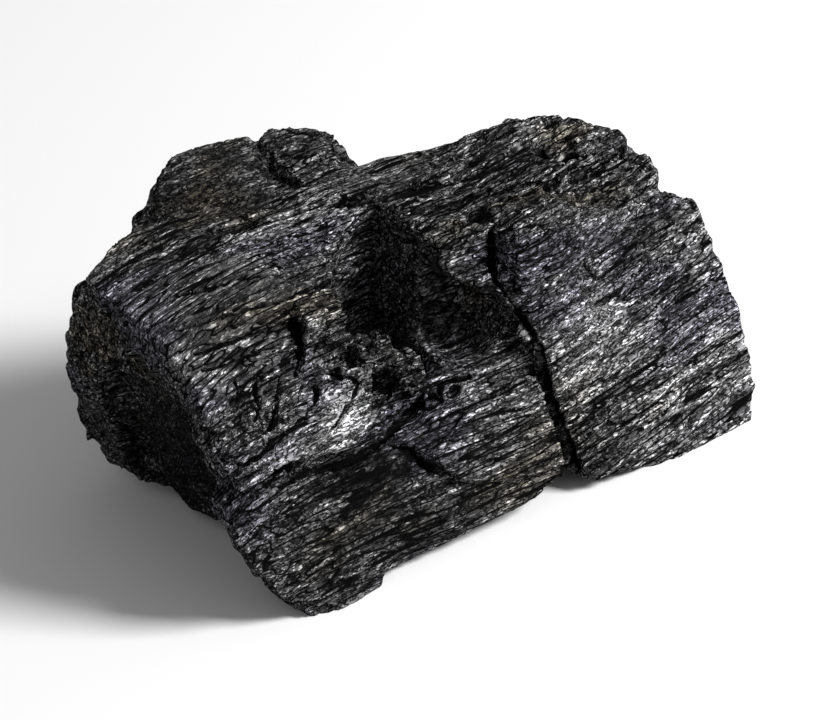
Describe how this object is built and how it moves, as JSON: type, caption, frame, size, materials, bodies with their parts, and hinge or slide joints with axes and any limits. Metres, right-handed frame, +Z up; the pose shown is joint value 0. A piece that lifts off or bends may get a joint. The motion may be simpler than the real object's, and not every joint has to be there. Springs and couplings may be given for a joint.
{
  "type": "charcoal lump",
  "caption": "Irregular lump of charred hardwood that lies level, with grain ridges, a deep burnt pit, open cracks and a raised knob.",
  "frame": {"origin": "middle of the bounding box's underside, at the height of the three flat spots that the lump rests on", "axes": "+X along the wood's grain towards the plain broken end, +Y from the split front face to the back, +Z up"},
  "size_m": [0.1236, 0.0722, 0.0587],
  "materials": {
    "charcoal": "charred black, dull, with a silvery sheen along the grain"
  },
  "bodies": {
    "root": {"charcoal_lump": "charcoal"}
  },
  "joints": []
}
